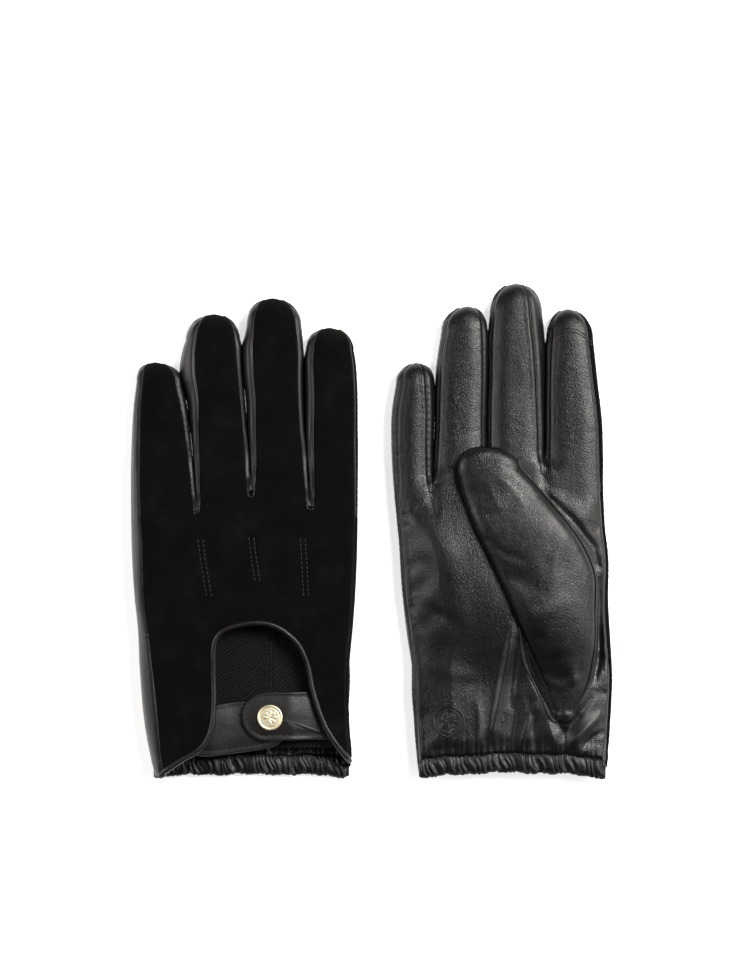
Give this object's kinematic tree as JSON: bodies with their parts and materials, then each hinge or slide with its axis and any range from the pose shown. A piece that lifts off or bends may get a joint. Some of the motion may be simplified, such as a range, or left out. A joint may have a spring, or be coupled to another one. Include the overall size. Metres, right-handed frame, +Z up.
{
  "type": "pair of driving gloves",
  "caption": "Pair of leather driving gloves with suede backs, smooth palms, fourchettes, elasticated hems and snap straps over keyhole wrists.",
  "frame": {"origin": "middle of the pair's plan, on the table that it lies on", "axes": "+Y towards the fingertips, +X from the left glove to the right glove, +Z up"},
  "size_m": [0.2259, 0.231, 0.0233],
  "materials": {
    "suede": "napped, matte black suede",
    "smooth_leather": "fine-grained black leather with a soft sheen",
    "fourchette_leather": "thin glossy black leather",
    "strap_leather": "smooth black leather, topstitched",
    "lining_cloth": "black knitted cashmere-like lining",
    "elastic": "black covered elastic",
    "gilt_metal": "polished gilt brass"
  },
  "bodies": {
    "left_hand": {"left_back_panel": "suede", "left_palm_panel": "smooth_leather", "left_fork_little_ring": "fourchette_leather", "left_fork_ring_middle": "fourchette_leather", "left_fork_middle_index": "fourchette_leather", "left_lining": "lining_cloth", "left_keyhole_binding": "fourchette_leather", "left_hem_elastic": "elastic", "left_hem_casing": "smooth_leather", "left_under_tab": "strap_leather", "left_snap_stud": "gilt_metal"},
    "left_little": {"left_little_back": "suede", "left_little_palm": "smooth_leather", "left_little_fourchette": "fourchette_leather"},
    "left_ring": {"left_ring_back": "suede", "left_ring_palm": "smooth_leather", "left_ring_fourchette": "fourchette_leather"},
    "left_middle": {"left_middle_back": "suede", "left_middle_palm": "smooth_leather", "left_middle_fourchette": "fourchette_leather"},
    "left_index": {"left_index_back": "suede", "left_index_palm": "smooth_leather", "left_index_fourchette": "fourchette_leather", "left_index_touch_tip": "smooth_leather"},
    "left_thumb": {"left_thumb_front": "smooth_leather", "left_thumb_back": "smooth_leather", "left_thumb_gusset": "fourchette_leather"},
    "left_strap": {"left_strap_tab": "strap_leather", "left_snap_cap": "gilt_metal", "left_snap_socket": "gilt_metal"},
    "right_hand": {"right_back_panel": "suede", "right_palm_panel": "smooth_leather", "right_fork_little_ring": "fourchette_leather", "right_fork_ring_middle": "fourchette_leather", "right_fork_middle_index": "fourchette_leather", "right_lining": "lining_cloth", "right_keyhole_binding": "fourchette_leather", "right_hem_elastic": "elastic", "right_hem_casing": "smooth_leather", "right_under_tab": "strap_leather", "right_snap_stud": "gilt_metal"},
    "right_little": {"right_little_back": "suede", "right_little_palm": "smooth_leather", "right_little_fourchette": "fourchette_leather"},
    "right_ring": {"right_ring_back": "suede", "right_ring_palm": "smooth_leather", "right_ring_fourchette": "fourchette_leather"},
    "right_middle": {"right_middle_back": "suede", "right_middle_palm": "smooth_leather", "right_middle_fourchette": "fourchette_leather"},
    "right_index": {"right_index_back": "suede", "right_index_palm": "smooth_leather", "right_index_fourchette": "fourchette_leather", "right_index_touch_tip": "smooth_leather"},
    "right_thumb": {"right_thumb_front": "smooth_leather", "right_thumb_back": "smooth_leather", "right_thumb_gusset": "fourchette_leather"},
    "right_strap": {"right_strap_tab": "strap_leather", "right_snap_cap": "gilt_metal", "right_snap_socket": "gilt_metal"}
  },
  "joints": [
    {"name": "left_little_bend", "type": "hinge", "parent": "left_hand", "child": "left_little", "pos_m": [-0.09965, 0.03755, 0.0068], "axis": [-1, 0, 0], "range_deg": [0, 80]},
    {"name": "left_ring_bend", "type": "hinge", "parent": "left_hand", "child": "left_ring", "pos_m": [-0.07275, 0.04855, 0.0068], "axis": [-1, 0, 0], "range_deg": [0, 80]},
    {"name": "left_middle_bend", "type": "hinge", "parent": "left_hand", "child": "left_middle", "pos_m": [-0.04555, 0.04955, 0.0068], "axis": [-1, 0, 0], "range_deg": [0, 80]},
    {"name": "left_index_bend", "type": "hinge", "parent": "left_hand", "child": "left_index", "pos_m": [-0.01905, 0.04555, 0.0068], "axis": [-1, 0, 0], "range_deg": [0, 80]},
    {"name": "left_thumb_spread", "type": "hinge", "parent": "left_hand", "child": "left_thumb", "pos_m": [-0.01385, -0.05645, 0.0064], "axis": [0, -1, 0], "range_deg": [0, 95]},
    {"name": "left_strap_open", "type": "hinge", "parent": "left_hand", "child": "left_strap", "pos_m": [-0.02905, -0.08645, 0.0171], "axis": [0, 1, 0], "range_deg": [0, 120]},
    {"name": "right_glove_lift", "type": "slide", "parent": "left_hand", "child": "right_hand", "axis": [0, 0, 1], "range_m": [0, 0.08]},
    {"name": "right_little_bend", "type": "hinge", "parent": "right_hand", "child": "right_little", "pos_m": [0.0192, 0.03755, 0.0068], "axis": [1, 0, 0], "range_deg": [0, 80]},
    {"name": "right_ring_bend", "type": "hinge", "parent": "right_hand", "child": "right_ring", "pos_m": [0.04165, 0.04855, 0.0068], "axis": [1, 0, 0], "range_deg": [0, 80]},
    {"name": "right_middle_bend", "type": "hinge", "parent": "right_hand", "child": "right_middle", "pos_m": [0.06715, 0.04955, 0.0068], "axis": [1, 0, 0], "range_deg": [0, 80]},
    {"name": "right_index_bend", "type": "hinge", "parent": "right_hand", "child": "right_index", "pos_m": [0.09465, 0.04555, 0.0068], "axis": [1, 0, 0], "range_deg": [0, 80]},
    {"name": "right_thumb_spread", "type": "hinge", "parent": "right_hand", "child": "right_thumb", "pos_m": [0.10505, -0.04845, 0.0169], "axis": [0, 1, 0], "range_deg": [0, 95]},
    {"name": "right_strap_open", "type": "hinge", "parent": "right_hand", "child": "right_strap", "pos_m": [0.09395, -0.08645, 0.0026], "axis": [0, -1, 0], "range_deg": [0, 120]}
  ]
}
